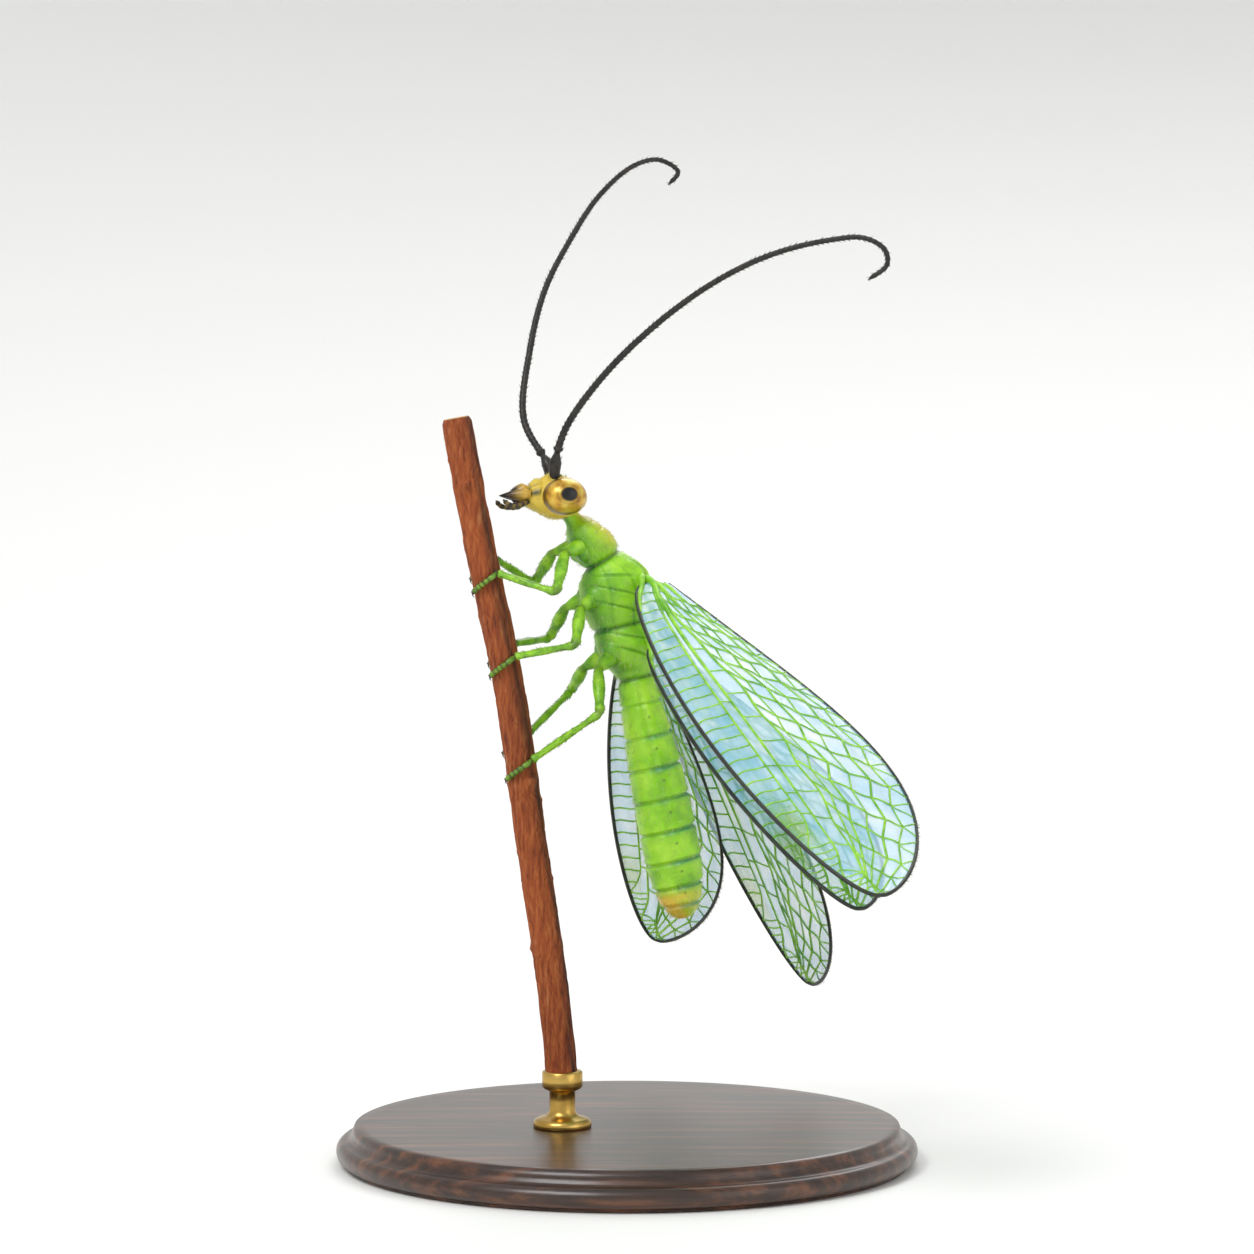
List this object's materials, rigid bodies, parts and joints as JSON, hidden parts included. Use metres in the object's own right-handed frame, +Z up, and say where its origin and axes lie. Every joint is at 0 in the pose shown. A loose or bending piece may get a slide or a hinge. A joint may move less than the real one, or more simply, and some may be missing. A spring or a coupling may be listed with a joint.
{
  "type": "green lacewing model",
  "caption": "Life-size green lacewing clinging head up to a cut twig, lace-veined wings half open and long curved feelers raised, on a flat round stand.",
  "frame": {"origin": "centre of the stand's underside, where it rests on the table", "axes": "+Z up, +X to the right as the insect is seen from its left side with the twig on the left, +Y away from that viewer"},
  "size_m": [0.019, 0.0243, 0.0331],
  "materials": {
    "body_skin": "smooth green outer skin of the thorax and abdomen, soft sheen",
    "head_skin": "golden yellow skin of the head and neck, soft sheen",
    "leg": "pale green leg skin with fine hairs",
    "foot": "dusky olive foot joints and claws",
    "feeler": "near-black ringed feelers",
    "eye": "golden compound eye with a metallic shine",
    "mouthparts": "dark brown horny jaws and palps",
    "wing_membrane": "clear pale blue membrane with green veins",
    "bark": "rough orange-brown bark",
    "stand_wood": "dark stained turned wood, satin",
    "stand_brass": "satin brass"
  },
  "bodies": {
    "root": {"abdomen_base": "body_skin", "abdomen_middle": "body_skin", "abdomen_tip": "body_skin", "antenna_left_base": "feeler", "antenna_left_middle": "feeler", "antenna_left_tip": "feeler", "antenna_right_base": "feeler", "antenna_right_middle": "feeler", "antenna_right_tip": "feeler", "eye_left": "eye", "eye_right": "eye", "forewing_left": "wing_membrane", "forewing_right": "wing_membrane", "head": "head_skin", "hindwing_left": "wing_membrane", "hindwing_right": "wing_membrane", "leg_front_left_femur": "leg", "leg_front_left_tarsus": "foot", "leg_front_left_tibia": "leg", "leg_front_right_femur": "leg", "leg_front_right_tarsus": "foot", "leg_front_right_tibia": "leg", "leg_hind_left_femur": "leg", "leg_hind_left_tarsus": "foot", "leg_hind_left_tibia": "leg", "leg_hind_right_femur": "leg", "leg_hind_right_tarsus": "foot", "leg_hind_right_tibia": "leg", "leg_middle_left_femur": "leg", "leg_middle_left_tarsus": "foot", "leg_middle_left_tibia": "leg", "leg_middle_right_femur": "leg", "leg_middle_right_tarsus": "foot", "leg_middle_right_tibia": "leg", "mesothorax": "body_skin", "metathorax": "body_skin", "mouthparts": "mouthparts", "palp_left": "mouthparts", "palp_right": "mouthparts", "prothorax": "head_skin", "stand_base": "stand_wood", "stand_rod": "stand_brass", "twig": "bark"}
  },
  "joints": []
}
